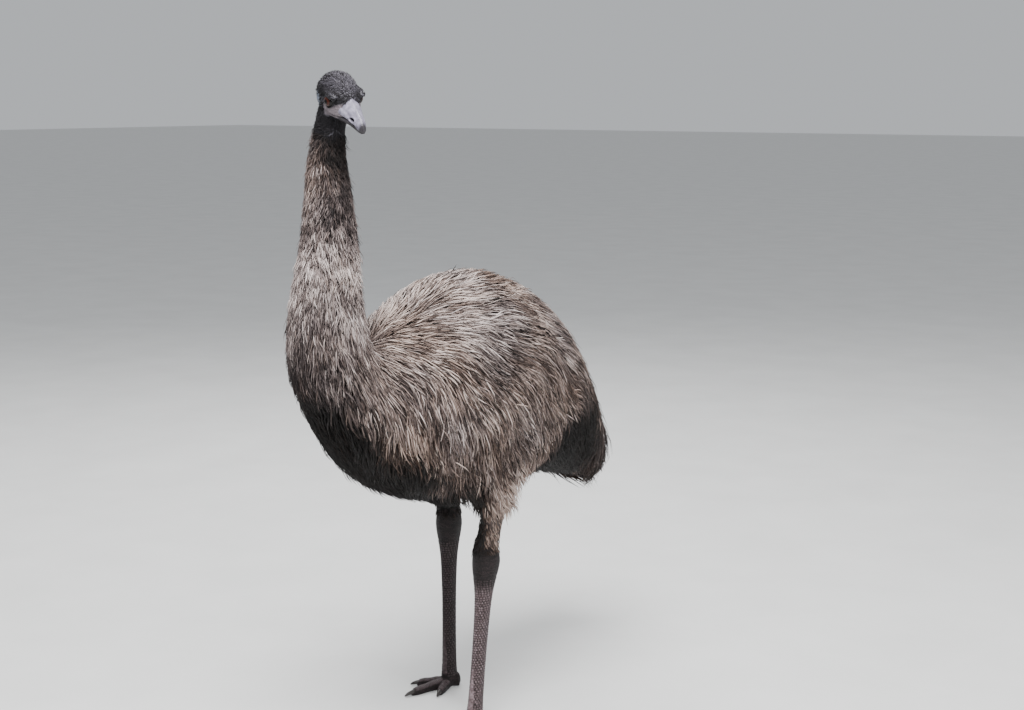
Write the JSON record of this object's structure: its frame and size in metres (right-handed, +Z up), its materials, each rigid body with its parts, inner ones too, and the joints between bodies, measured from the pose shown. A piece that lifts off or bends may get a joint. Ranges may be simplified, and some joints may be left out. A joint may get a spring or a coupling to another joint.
{
  "type": "emu",
  "caption": "Standing adult emu, neck upright and head turned to its left, with a long shaggy grey-brown coat, bare scaly legs and long-toed feet.",
  "frame": {"origin": "middle of the bird's bounding box, at floor height", "axes": "-Y is the way the body faces, +X is the bird's left side, +Z is up"},
  "size_m": [0.4914, 1.2364, 1.6535],
  "materials": {
    "coat": "long loose hair-like feathers",
    "dark_coat": "short dark bristly feathers",
    "bill": "smooth grey horn",
    "eye": "wet and glossy",
    "scales": "dry scales",
    "claw": "worn dark horn"
  },
  "bodies": {
    "root": {"bill_lower": "bill", "bill_upper": "bill", "claw_inner_left": "claw", "claw_inner_right": "claw", "claw_middle_left": "claw", "claw_middle_right": "claw", "claw_outer_left": "claw", "claw_outer_right": "claw", "eye_left": "eye", "eye_right": "eye", "head": "dark_coat", "neck_lower": "coat", "neck_middle": "coat", "neck_upper": "dark_coat", "shank_left": "scales", "shank_right": "scales", "tail": "coat", "thigh_left": "coat", "thigh_right": "coat", "toe_inner_left": "scales", "toe_inner_right": "scales", "toe_middle_left": "scales", "toe_middle_right": "scales", "toe_outer_left": "scales", "toe_outer_right": "scales", "trunk": "coat", "wing_left": "coat", "wing_right": "coat"}
  },
  "joints": []
}
